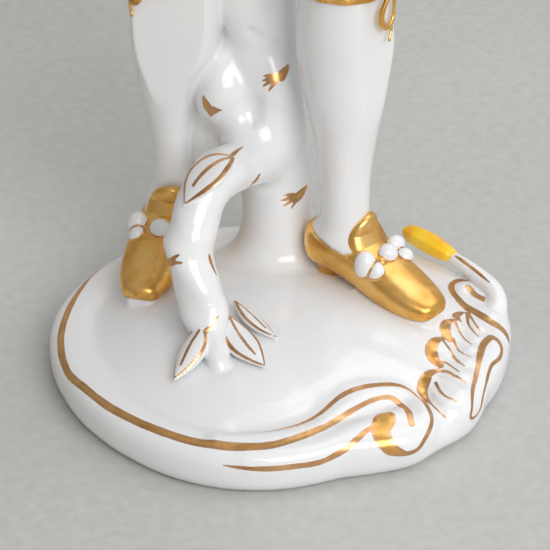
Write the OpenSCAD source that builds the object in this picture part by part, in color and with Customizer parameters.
// Porcelain figurine: a gentleman in court dress on a scrolled plinth, leaning on a tree trunk.
// Built the way a porcelain workshop assembles one: every cast piece is a separate solid, and each
// piece is cut to the shape of the pieces that it is luted onto. "Left" and "right" are the
// gentleman's own. He faces -Y, the plinth's scrolled side is +X, and Z is up.

/* [Plinth] */
// Radius of the round part of the plinth
plinth_r = 43; // [41:0.5:46]
// Height of the plinth's rim
rim_h = 9.6; // [8.5:0.1:10.5]
// Height of the top of the plinth's dome
dome_h = 14.5; // [13.5:0.1:15]
// Thickness of the cast wall
wall = 3.5; // [2.5:0.1:4]

/* [Figure] */
// Turn of the gentleman's body towards his left, in degrees
body_turn = 12; // [8:1:14]
// Extra turn of the head, in degrees
head_turn = 10; // [0:1:15]
// Height of the stockings' tops
garter_z = 80; // [79:0.5:81]
// Height of the coat's hem
hem_z = 91; // [90:1:94]
// Thickness of the coat's skirts
cloth_t = 2; // [1.6:0.1:2.4]

/* [Detail] */
// Sides of the round cast pieces
sides = 16; // [12:4:20]

/* [Hidden] */

porcelain = [0.95, 0.95, 0.94];
gold = [0.80, 0.58, 0.22];
enamel_yellow = [0.98, 0.76, 0.10];

waist_z = 163;
body_at = [2, 24.5, 0];
torso_sides = 24;

// ---------------------------------------------------------------- shapes

function unit(v) = v / norm(v);
function at(row) = [row[0], row[1], row[2]];
function middle(ring) = [for (i = [0:2]) sum([for (p = ring) p[i]]) / len(ring)];
function sum(list, i = 0) = i < len(list) ? list[i] + sum(list, i + 1) : 0;

// One step of a Catmull-Rom curve through the rows a, b, c, d
function blend_row(a, b, c, d, t) =
  0.5 * (2 * b + (c - a) * t + (2 * a - 5 * b + 4 * c - d) * t * t + (3 * b - a - 3 * c + d) * t * t * t);

// Rows filled in smoothly, with this many steps between two rows
function smooth(rows, steps) = let (n = len(rows)) [
  for (i = [0:n - 2]) for (s = [0:steps - 1])
    blend_row(rows[max(i - 1, 0)], rows[i], rows[i + 1], rows[min(i + 2, n - 1)], s / steps),
  rows[n - 1]
];

// A level ellipse for a row [z, x, y, rx, ry]
function level_ring(row, n) = [
  for (k = [0:n - 1]) let (a = 360 * k / n) [row[1] + row[3] * cos(a), row[2] + row[4] * sin(a), row[0]]
];

// Ellipses square to a path of rows [x, y, z, width radius, height radius]
function path_rings(rows, n, up = [0, 0, 1]) = let (last = len(rows) - 1) [
  for (i = [0:last])
    let (along = unit(at(rows[min(i + 1, last)]) - at(rows[max(i - 1, 0)])),
         u = unit(cross(up, along)), v = cross(along, u))
    [for (k = [0:n - 1]) let (a = 360 * k / n)
      at(rows[i]) + rows[i][3] * cos(a) * u + rows[i][4] * sin(a) * v]
];

// A closed solid over a stack of equal rings
module skin(rings) {
  n = len(rings[0]);
  m = len(rings);
  polyhedron(
    points = concat([for (r = rings) each r], [middle(rings[0]), middle(rings[m - 1])]),
    faces = concat(
      [for (i = [0:m - 2]) for (k = [0:n - 1]) let (j = (k + 1) % n)
        each [[i * n + k, (i + 1) * n + k, (i + 1) * n + j], [i * n + k, (i + 1) * n + j, i * n + j]]],
      [for (k = [0:n - 1]) [m * n, k, (k + 1) % n]],
      [for (k = [0:n - 1]) [m * n + 1, (m - 1) * n + (k + 1) % n, (m - 1) * n + k]]
    )
  );
}

module column(rows, n = sides, steps = 2) {
  skin([for (r = smooth(rows, steps)) level_ring(r, n)]);
}

module limb(rows, n = sides, steps = 2, up = [0, 0, 1]) {
  skin(path_rings(smooth(rows, steps), n, up));
}

// A curved sheet of cloth. Each row is [z, y, rx, ry] of its outer side, from angle a to angle b
module cloth(rows, a, b, thickness, steps = 8) {
  m = len(rows);
  n = steps + 1;
  function arc(row, inset) = [
    for (k = [0:steps]) let (t = a + (b - a) * k / steps)
      [(row[2] - inset) * cos(t), row[1] + (row[3] - inset) * sin(t), row[0]]
  ];
  outer = [for (r = rows) each arc(r, 0)];
  inner = [for (r = rows) each arc(r, thickness)];
  o = m * n;
  grid = [for (i = [0:m - 2]) for (k = [0:steps - 1]) [0, n, n + 1, 1] + (i * n + k) * [1, 1, 1, 1]];
  polyhedron(
    points = concat(outer, inner),
    faces = concat(
      [for (q = grid) each [[q[0], q[1], q[2]], [q[0], q[2], q[3]]]],
      [for (q = grid) each [[q[2] + o, q[1] + o, q[0] + o], [q[3] + o, q[2] + o, q[0] + o]]],
      [for (k = [0:steps - 1]) each [[k, k + 1, o + k + 1], [k, o + k + 1, o + k]]],
      [for (k = [0:steps - 1]) let (e = (m - 1) * n)
        each [[e + k + 1, e + k, o + e + k], [e + k + 1, o + e + k, o + e + k + 1]]],
      [for (i = [0:m - 2]) each [[i * n, o + i * n, o + (i + 1) * n], [i * n, o + (i + 1) * n, (i + 1) * n]]],
      [for (i = [0:m - 2]) let (e = i * n + steps)
        each [[e + n, o + e + n, o + e], [e + n, o + e, e]]]
    )
  );
}

// A closed petal from a to b, this wide and thick at its fullest, near b
module petal(a, b, wide, thick, n = 10) {
  shape = [[0, 0.55], [0.3, 0.85], [0.62, 1], [0.86, 0.78], [1, 0.25]];
  limb([for (s = shape) [each lerp(a, b, s[0]), wide / 2 * s[1], thick / 2 * s[1]]], n, 1);
}

// ---------------------------------------------------------------- plinth

// The plinth's outline as [angle from +X, how far it stands out from its radius]: hand-pressed,
// so not quite round, with the scrolled side standing out
outline = [
  [-180, -2], [-160, -3.2], [-140, -3.4], [-126, -2.9], [-112, -1.8], [-96, -0.7], [-82, -0.3],
  [-64, -0.4], [-55, 2], [-46, 4.8], [-38, 5], [-28, 7.6], [-20, 7.1], [-10, 8.8], [-3, 9.8],
  [7, 11.4], [14, 11.6], [22, 9.8], [32, 7], [42, 3.8], [54, 1.4], [66, 0], [90, -0.4],
  [142, -1.6], [167, -1.4], [180, -2]
];
function outline_r(a) = plinth_r + lookup(a > 180 ? a - 360 : a, outline);

// The rim and dome from the foot up, as [height, distance in from the outline]
rim_rows = [
  [0, 2.4], [1.2, 0.8], [3, 0.1], [5, 0], [7, 0.5], [8.6, 1.5], [rim_h, 3], [rim_h - 0.1, 4.5],
  [rim_h - 0.6, 7], [rim_h + 0.2, 11], [lerp(rim_h, dome_h, 0.45), 16], [lerp(rim_h, dome_h, 0.85), 23],
  [dome_h, 32]
];
function lerp(a, b, t) = a + (b - a) * t;

module plinth_form() {
  n = 72;
  skin([for (r = rim_rows) [
    for (k = [0:n - 1]) let (a = 360 * k / n, d = outline_r(a) - r[1]) [d * cos(a), d * sin(a), r[0]]
  ]]);
}

// The hollow that the slip leaves under the plinth, open over its whole foot
module plinth_hollow() {
  r = plinth_r - 8;
  translate([0, 0, -1]) rotate_extrude($fn = 64)
    polygon([
      [0, 0], [r, 0], [r, 3.5], [r - 4, rim_h - wall], [r - 14, lerp(rim_h, dome_h, 0.3) - wall + 1],
      [0, dome_h - wall + 1]
    ]);
}

module plinth() {
  color(porcelain) difference() {
    plinth_form();
    plinth_hollow();
  }
}

stem_path = [
  [47.5, 5.5, 5.5, 2.2, 2], [51, 9.5, 8, 2.5, 2.3], [50.6, 14, 9.8, 2.4, 2.3], [47.6, 18.2, 10.8, 2.1, 2.1],
  [44.6, 21.2, 11.7, 1.6, 1.6], [42.6, 23.2, 12.3, 1.4, 1.4]
];
bud_path = [
  [42.6, 23.2, 12.3, 1.4, 1.4], [40.6, 24.8, 12.8, 2.1, 2.1], [38, 27.2, 13.2, 2.4, 2.4],
  [35, 29.9, 13.5, 2.2, 2.2], [33, 31.5, 13.6, 1.1, 1.1]
];

module rear_stem() {
  color(porcelain) difference() {
    limb(stem_path, 10);
    plinth_form();
  }
}

module yellow_bud() {
  color(enamel_yellow) difference() {
    limb(bud_path, 12);
    plinth_form();
  }
}

// ---------------------------------------------------------------- trunk, branch and leaves

trunk_rows = [
  [12, 5.5, 25.5, 11, 9.5], [16, 5.8, 26, 8.6, 8], [22, 5.6, 26.5, 7.2, 7.2], [30, 5, 27, 7.8, 7.8],
  [40, 2.6, 28, 9.8, 8.6], [49, 0.6, 29.5, 10.6, 8.4], [57, 1.2, 31, 9.2, 7.8], [66, 2.4, 32, 7.4, 7.2],
  [80, 3, 33, 7, 7], [104, 3, 33.5, 7, 7]
];
branch_path = [
  [3, 25, 34, 5.6, 5.6], [1.5, 19, 36.5, 5.3, 5.3], [-3, 14, 39.5, 5, 5], [-8, 8.5, 39.5, 5, 5],
  [-11, 3.5, 34, 4.9, 4.9], [-11.7, -0.5, 27.5, 4.8, 4.8], [-10, -4.5, 21.5, 4.5, 4.3],
  [-7.6, -8.5, 16.5, 4, 3.8], [-6, -12.5, 12.5, 3.6, 3]
];

module trunk_form() { column(trunk_rows, 16); }

module tree_trunk() {
  color(porcelain) difference() {
    trunk_form();
    plinth_form();
  }
}

module branch_form() { limb(branch_path, 12); }

module root_branch() {
  color(porcelain) difference() {
    branch_form();
    trunk_form();
    plinth_form();
  }
}

// A leaf between its stalk and its tip, lens-shaped and this wide and thick
module leaf(stalk, tip, width, thick) {
  limb([
    for (t = [0, 0.2, 0.45, 0.75, 1]) let (w = pow(sin(180 * pow(t, 0.8)), 0.9))
      [each lerp(stalk, tip, t), 0.2 + width / 2 * w, 0.25 + thick / 2 * sin(180 * t)]
  ], 10, 1);
}

module leaf_upper() {
  color(porcelain) difference() {
    limb([
      [-1.6, 10.4, 46.4, 0.5, 0.5], [-4.6, 8.8, 45.6, 3, 1.1], [-7.6, 6.4, 44.2, 4, 1.3],
      [-10.2, 4.2, 41.8, 3, 1.1], [-12.4, 2.4, 38.6, 0.4, 0.4]
    ], 10, 2, [0.4, -0.5, 0.77]);
    branch_form();
    trunk_form();
  }
}

// Foot leaves as [stalk, tip, width]
foot_leaves = [
  [[-8.6, -9.5, 21], [-14.2, -21.5, 13.4], 6.4],
  [[-5, -6, 20], [2.8, -18.2, 14], 7.2],
  [[-4, -2.5, 19.5], [5.4, -8.6, 15], 5.4]
];

module foot_leaf(i) {
  color(porcelain) difference() {
    leaf(foot_leaves[i][0], foot_leaves[i][1], foot_leaves[i][2], 2);
    branch_form();
    plinth_form();
  }
}

module leaf_left() { foot_leaf(0); }
module leaf_middle() { foot_leaf(1); }
module leaf_right() { foot_leaf(2); }

// ---------------------------------------------------------------- shoes

// Where each foot stands: the back of the heel, the turn of the toe from -Y, and the foot's length
left_foot = [[13.2, 21.4, 0], 49, 32.8];
right_foot = [[-14.7, 38, 0], -14, 33.4];

module in_foot(foot) {
  translate(foot[0]) rotate([0, 0, foot[1]]) children();
}

// A shoe's sections from heel to toe, in the foot's frame, where -Y is forwards:
// [distance forwards, bottom, top, half width]
shoe_rows = [
  [0, 18, 23.8, 2.2], [1, 15.8, 23.8, 4], [4, 15.4, 23, 5.2], [9, 15.2, 22, 5.3], [14, 14.4, 22.8, 5.4],
  [19, 13.2, 22, 5.8], [24, 12.6, 20.1, 5.8], [28.5, 12.6, 18.2, 5.2], [31.6, 12.8, 17, 4],
  [33, 13.6, 16, 2.4]
];

module shoe_form(foot) {
  k = foot[2] / 33;
  in_foot(foot) {
    skin([for (r = smooth(shoe_rows, 2)) [
      for (a = [0:30:330]) let (half = (r[2] - r[1]) / 2)
        [r[3] * cos(a), -r[0] * k, (r[1] + r[2]) / 2 + half * sin(a)]
    ]]);
    translate([0, -5, 11]) cylinder(h = 6, r1 = 3.4, r2 = 4.2, $fn = 24);
  }
}

module shoe(foot) {
  color(gold) difference() {
    shoe_form(foot);
    plinth_form();
  }
}

// The flared tongue, a curved sheet that stands up in front of the ankle
tongue_rows = [[19.6, -8, 7.8, 9.6], [22.5, -7.8, 7.2, 8.2], [25, -7.7, 6.9, 7.3], [27.6, -7.6, 7, 7.2]];

module tongue_form(foot) {
  in_foot(foot) cloth(tongue_rows, -138, -42, 1.2, 10);
}

module tongue(foot) {
  color(gold) difference() {
    tongue_form(foot);
    shoe_form(foot);
  }
}

// A bow of four petals round a knot, on the shoe's instep
module shoe_bow_form(foot) {
  in_foot(foot) {
    for (side = [-1, 1]) {
      petal([side * 0.6, -18.4, 22.2], [side * 6.2, -17.4, 22.4], 3.8, 2.8);
      petal([side * 0.6, -19.4, 21.8], [side * 4.6, -22, 20.8], 3.4, 2.6);
    }
    translate([0, -19, 22.4]) sphere(r = 1.5, $fn = 16);
  }
}

module shoe_bow(foot) {
  color(porcelain) difference() {
    shoe_bow_form(foot);
    shoe_form(foot);
    tongue_form(foot);
  }
}

module left_shoe() { shoe(left_foot); }
module right_shoe() { shoe(right_foot); }
module left_shoe_tongue() { tongue(left_foot); }
module right_shoe_tongue() { tongue(right_foot); }
module left_shoe_bow() { shoe_bow(left_foot); }
module right_shoe_bow() { shoe_bow(right_foot); }

// ---------------------------------------------------------------- legs

left_stocking_rows = [
  [17, 19.6, 16.6, 4.8, 5], [24, 19.5, 16.8, 5.2, 5.4], [31, 19.5, 17, 5.1, 5.4],
  [38, 19.4, 17.4, 5.4, 5.8], [46, 19.4, 18, 6.5, 7.2], [53, 19.3, 18.6, 7.9, 8.8],
  [59.5, 19, 19, 9.1, 9.8], [66, 19, 18.8, 9.8, 10],
  [72, 18.9, 18.3, 9.5, 9.6], [garter_z, 18.7, 17.8, 8.8, 9]
];
right_stocking_rows = [
  [17, -16.6, 30.6, 4, 4.6], [25, -16.4, 31, 4.3, 4.9], [32, -16.2, 31.4, 4.1, 4.9],
  [39, -16.3, 31.4, 4.6, 5.7], [47.5, -16.5, 31, 6, 7], [54, -15.9, 30.4, 7.4, 8.2],
  [60, -15.1, 29.6, 9, 9.3], [66, -14.8, 29, 9.4, 9.6],
  [72, -14.7, 28.5, 9.3, 9.4], [garter_z, -14.5, 28, 8.8, 9]
];

module left_stocking() {
  color(porcelain) difference() {
    column(left_stocking_rows);
    shoe_form(left_foot);
  }
}

module right_stocking() {
  color(porcelain) difference() {
    column(right_stocking_rows);
    shoe_form(right_foot);
    trunk_form();
  }
}

garter_h = 3.4;
left_knee = [18.7, 17.8];
right_knee = [-14.5, 28];
module garter_form(knee) {
  column([
    [garter_z, knee[0], knee[1], 9.3, 9.4], [garter_z + garter_h / 2, knee[0], knee[1], 10, 10.1],
    [garter_z + garter_h, knee[0], knee[1], 9.5, 9.6]
  ], sides, 1);
}

module left_garter() { color(gold) garter_form(left_knee); }
module right_garter() { color(gold) garter_form(right_knee); }

// A ribbon bow with two loops and two hanging tails, on the outer side of the knee
module garter_bow(knee, side) {
  out = [knee[0] + side * 9.4, knee[1] - 4.2, garter_z + 1.8];
  color(gold) difference() {
    for (d = [-1, 1]) {
      petal(out, out + [side * 0.6, d * 5, 1.4], 1.8, 3);
      petal(out + [0, 0, 0.6], out + [side * 0.4, d * 2.6, -7], 1.6, 1.6);
    }
    garter_form(knee);
    column(side > 0 ? left_stocking_rows : right_stocking_rows);
  }
}

module left_garter_bow() { garter_bow(left_knee, 1); }
module right_garter_bow() { garter_bow(right_knee, -1); }

knee_z = garter_z + garter_h;
seat_top_z = 139;
left_thigh_rows = [
  [knee_z, 18.7, 17.8, 9.5, 9.6], [89, 18.2, 17.8, 10.6, 10.8], [98, 16.8, 18.6, 11.4, 12],
  [112, 14, 20.8, 12.4, 13.2], [130, 10.4, 22.8, 12.8, 13.6]
];
right_thigh_rows = [
  [knee_z, -14.5, 28, 9.5, 9.6], [89, -14, 27.6, 10.5, 10.7], [98, -12.6, 26.8, 11.4, 11.8],
  [112, -9.8, 25.6, 12, 12.4], [130, -6.4, 24.6, 12.4, 12.6]
];

module on_body() { translate(body_at) rotate([0, 0, body_turn]) children(); }

module breeches_form() {
  column(left_thigh_rows);
  column(right_thigh_rows);
  seat = [[121, 0, 0.4, 16, 11], [130, 0, 0.4, 18, 13.4], [seat_top_z, 0, 0.4, 17, 13]];
  on_body() column(seat, torso_sides, 1);
}

module breeches() {
  color(porcelain) difference() {
    breeches_form();
    trunk_form();
  }
}

// ---------------------------------------------------------------- waistcoat and coat

// The torso as [z, x, y, rx, ry] in the body's own frame
torso_rows = [
  [seat_top_z, 0, 0.4, 17, 13], [150, 0, 0, 15.4, 12], [waist_z, 0, 0, 14, 10.8], [175, 0, -0.4, 15.6, 11.8],
  [188, 0, -0.6, 18, 13], [200, 0, 0, 19.4, 12.6], [208.5, 0, 0.8, 17, 10.4], [214, 0, 1.2, 10.6, 7.6],
  [217, 0, 1.2, 6.6, 6.4]
];

module torso_form() { column(torso_rows, torso_sides, 1); }
module waistcoat() { color(porcelain) on_body() torso_form(); }

// The torso rows between two heights, grown by t, as the rows that cloth() takes
function over_torso(lo, hi, t) = [
  for (r = torso_rows) if (r[0] >= lo && r[0] <= hi) [r[0], r[2], r[3] + t, r[4] + t]
];

// The two pointed flaps of the waistcoat, below its lowest button
flap_rows = [
  [122, -1.6, 20.4, 18.6], [130, -0.8, 19.6, 16.6], [seat_top_z, 0, 18.4, 14.6], [150, 0, 16.4, 13]
];
module waistcoat_flap(a, b) {
  color(porcelain) difference() {
    on_body() cloth(flap_rows, a, b, 1.4, 5);
    breeches_form();
    on_body() torso_form();
  }
}
module left_waistcoat_flap() { waistcoat_flap(275, 324); }
module right_waistcoat_flap() { waistcoat_flap(216, 265); }

module waistcoat_buttons() {
  color(gold) on_body() for (i = [0:6]) {
    z = 153 + 6.8 * i;
    y = lookup(z, [for (r = torso_rows) [r[0], r[2] - r[4]]]);
    translate([0, y, z]) sphere(r = 1.2, $fn = 16);
  }
}

coat_front = 35;
module coat_body() {
  color(porcelain) on_body() cloth(over_torso(waist_z, 215, 2), -coat_front, 180 + coat_front, 2, 20);
}

skirt_rows = [
  [hem_z, 3, 31, 20], [102, 2.6, 29.6, 19.4], [116, 1.8, 26.6, 18.4], [132, 1, 22.6, 16.8],
  [146, 0.4, 19, 14.6], [156, 0, 16.8, 13], [waist_z, 0, 16, 12.8]
];
skirt_front = 31;
module skirt(a, b) {
  on_body() cloth(skirt_rows, a, b, cloth_t, 12);
}
module left_coat_skirt() { color(porcelain) skirt(-skirt_front, 88); }
module right_coat_skirt() { color(porcelain) skirt(92, 180 + skirt_front); }

// Buttons down both front edges of the coat
module coat_buttons() {
  rows = concat(skirt_rows, over_torso(waist_z + 1, 209, 2));
  color(gold) on_body() for (side = [-1, 1]) for (i = [0:6]) {
    z = 150 + 8 * i;
    reach = [for (c = [1:3]) lookup(z, [for (r = rows) [r[0], r[c]]])];
    a = 28;
    translate([side * reach[1] * cos(a), reach[0] - reach[2] * sin(a), z]) sphere(r = 1.3, $fn = 16);
  }
}

// ---------------------------------------------------------------- arms

left_sleeve_path = [
  [13, 0.6, 209, 6.4, 4.4], [18.5, 0.6, 206, 8, 7], [24, 1.4, 198, 7.8, 7.6], [28.6, 2.8, 186, 7.4, 7.4],
  [32.4, 3.2, 174, 7.2, 7.2], [32.6, -1.2, 166.4, 7.1, 7.1], [28, -7.4, 166.4, 7, 7],
  [22.6, -12.4, 168.6, 7, 7]
];
right_sleeve_path = [
  [-13, 0.6, 209, 6.4, 4.4], [-18.5, 0.6, 206, 8, 7], [-25.4, 2, 198.6, 7.8, 7.6],
  [-32.4, 4.6, 187, 7.4, 7.4], [-38.4, 6.4, 175, 7.2, 7.2], [-38.6, 2.6, 166, 7.1, 7.1],
  [-33, -3, 160.4, 7, 7], [-27.6, -6.6, 156.6, 7, 7]
];
left_wrist = [[22.6, -12.4, 168.6], [17.6, -16, 171], [13.8, -17.6, 172.8]];
right_wrist = [[-27.6, -6.6, 156.6], [-23, -9.6, 153.4], [-19.8, -11.6, 151.2]];

// The coat as the sleeves meet it: filled, so that a sleeve ends on its outer face
module coat_form() {
  column([for (r = torso_rows) if (r[0] >= waist_z && r[0] < 215) r + [0, 0, 0, 2, 2]], torso_sides, 1);
}

module sleeve(path) {
  color(porcelain) on_body() difference() {
    limb(path, 16, 2, [0, 1, 0]);
    coat_form();
    torso_form();
  }
}
module left_sleeve() { sleeve(left_sleeve_path); }
module right_sleeve() { sleeve(right_sleeve_path); }

module cuff(w) { color(gold) on_body() limb([[each w[0], 8.2, 8.2], [each w[1], 9.4, 9.4]], 16, 1); }
module left_cuff() { cuff(left_wrist); }
module right_cuff() { cuff(right_wrist); }

module cuff_lace(w) { color(porcelain) on_body() limb([[each w[1], 5, 5], [each w[2], 7, 7]], 16, 1); }
module left_cuff_lace() { cuff_lace(left_wrist); }
module right_cuff_lace() { cuff_lace(right_wrist); }

// A hand: palm, four fingers and a thumb, from the wrist towards the finger tips
module hand(wrist, knuckles, tips, across, thumb) {
  petal(wrist, lerp(wrist, knuckles, 1.3), 7, 4, 10);
  for (i = [0:3]) {
    shift = across * (i - 1.5);
    petal(lerp(wrist, knuckles, 0.6) + shift, tips + shift * 0.8, 2.3, 2.1, 8);
  }
  petal(lerp(wrist, knuckles, 0.3), thumb, 2.4, 2.2, 8);
}

module left_hand() {
  color(porcelain) on_body() difference() {
    hand(left_wrist[2], [8.4, -17.2, 175.6], [2.6, -14.6, 178.4], [0.5, 0.2, 1.9], [9.4, -17.6, 180.4]);
    torso_form();
  }
}
module right_hand() {
  color(porcelain) on_body() difference() {
    hand(right_wrist[2], [-15.8, -13.4, 147.6], [-11, -13.4, 143.2], [1.2, -0.8, 1.5], [-14.6, -14.4, 153]);
    coat_form();
    torso_form();
    cloth(skirt_rows, 92, 180 + skirt_front, cloth_t, 12);
  }
}

// ---------------------------------------------------------------- neck, head and wig

module neck_form() {
  column([
    [217, 0, 1.2, 6.4, 6.2], [221, 0, 0.8, 5.9, 6], [226, 0, 0.4, 5.6, 6], [231, 0, 0.2, 5.4, 5.8]
  ], sides, 1);
}
module neck() {
  color(porcelain) on_body() neck_form();
}

// The neckcloth: a band wound round the neck, and its pleated fall down the chest
module neckcloth_form() {
  column([
    [216.4, 0, 0.8, 7.2, 7], [219.4, 0, 0.4, 7.8, 7.8], [223, 0, 0.2, 7.6, 7.8], [225.6, 0, 0.2, 6.8, 7.2]
  ], sides, 1);
}
module neckcloth() {
  color(porcelain) on_body() difference() {
    neckcloth_form();
    neck_form();
    torso_form();
  }
}

module jabot() {
  color(porcelain) on_body() difference() {
    column([
      [193, 0, -13.8, 6.4, 1.4], [201, 0, -13.2, 6, 2.2], [209, 0, -11, 5, 2.6], [215.6, 0, -8.6, 4, 2.6],
      [221, 0, -7.6, 3, 2]
    ], 14, 1);
    torso_form();
    coat_form();
    neckcloth_form();
  }
}

module on_head() { on_body() rotate([0, 0, head_turn]) children(); }

module head_form() {
  column([
    [227.6, 0, -7.4, 2.4, 2.6], [229.6, 0, -6, 4.6, 5.2], [232.6, 0, -3.8, 7, 8], [237, 0, -1.8, 8.9, 10.4],
    [242.6, 0, -0.6, 9.9, 12], [249, 0, 0, 10.3, 12.6], [255, 0, 0.6, 9.4, 11.6], [259, 0, 1, 6.6, 8.4],
    [260.8, 0, 1.2, 2.6, 3.4]
  ], 20, 1);
  petal([0, -11.4, 245.6], [0, -13.8, 239.6], 2.4, 3, 8);
}
module head() {
  color(porcelain) difference() {
    on_head() head_form();
    on_body() neck_form();
  }
}

// The wig covers the crown and the back of the head, down to the nape
module wig_form() {
  difference() {
    column([
      [232, 0, 6.4, 8, 5.8], [238, 0, 5, 11, 9.2], [246, 0, 3.8, 12.2, 11.8], [254, 0, 2.4, 12, 13],
      [260, 0, 1.6, 9.4, 10.6], [263.4, 0, 1.8, 4, 4.8]
    ], 20, 1);
    translate([-14, -16, 226]) cube([28, 16, 26.5]);
  }
}
module wig() {
  color(porcelain) on_head() difference() {
    wig_form();
    head_form();
  }
}

// Two rolled curls over each ear
module wig_rolls(side) {
  color(porcelain) on_head() difference() {
    for (z = [236.4, 242]) hull() {
      translate([side * 11.4, -1.6, z]) sphere(r = 2.5, $fn = 16);
      translate([side * 11.2, 7, z + 0.6]) sphere(r = 2.6, $fn = 16);
    }
    head_form();
    wig_form();
  }
}
module left_wig_rolls() { wig_rolls(1); }
module right_wig_rolls() { wig_rolls(-1); }

module queue_form() {
  limb([
    [0, 10.6, 237, 3, 3], [0, 14.4, 231, 3.2, 3.2], [0, 16.6, 221, 2.9, 2.9], [0, 17.8, 211, 2.2, 2.2],
    [0, 17.4, 203, 0.9, 0.9]
  ], 12, 2, [1, 0, 0]);
}
module wig_queue() {
  color(porcelain) difference() {
    on_head() queue_form();
    on_head() wig_form();
    on_body() coat_form();
  }
}
module queue_bow() {
  color(gold) on_head() difference() {
    for (side = [-1, 1]) {
      petal([side * 0.6, 17.4, 231.4], [side * 8, 17.2, 233.6], 2.2, 4.6);
      petal([side * 0.6, 17.8, 231], [side * 4, 19.2, 223], 1.6, 2.4);
    }
    queue_form();
  }
}

// ---------------------------------------------------------------- assembly

plinth();
rear_stem();
yellow_bud();
tree_trunk();
root_branch();
leaf_upper();
leaf_left();
leaf_middle();
leaf_right();
left_shoe();
right_shoe();
left_shoe_tongue();
right_shoe_tongue();
left_shoe_bow();
right_shoe_bow();
left_stocking();
right_stocking();
left_garter();
right_garter();
left_garter_bow();
right_garter_bow();
breeches();
waistcoat();
left_waistcoat_flap();
right_waistcoat_flap();
waistcoat_buttons();
coat_body();
left_coat_skirt();
right_coat_skirt();
coat_buttons();
left_sleeve();
right_sleeve();
left_cuff();
right_cuff();
left_cuff_lace();
right_cuff_lace();
left_hand();
right_hand();
neck();
neckcloth();
jabot();
head();
wig();
left_wig_rolls();
right_wig_rolls();
wig_queue();
queue_bow();
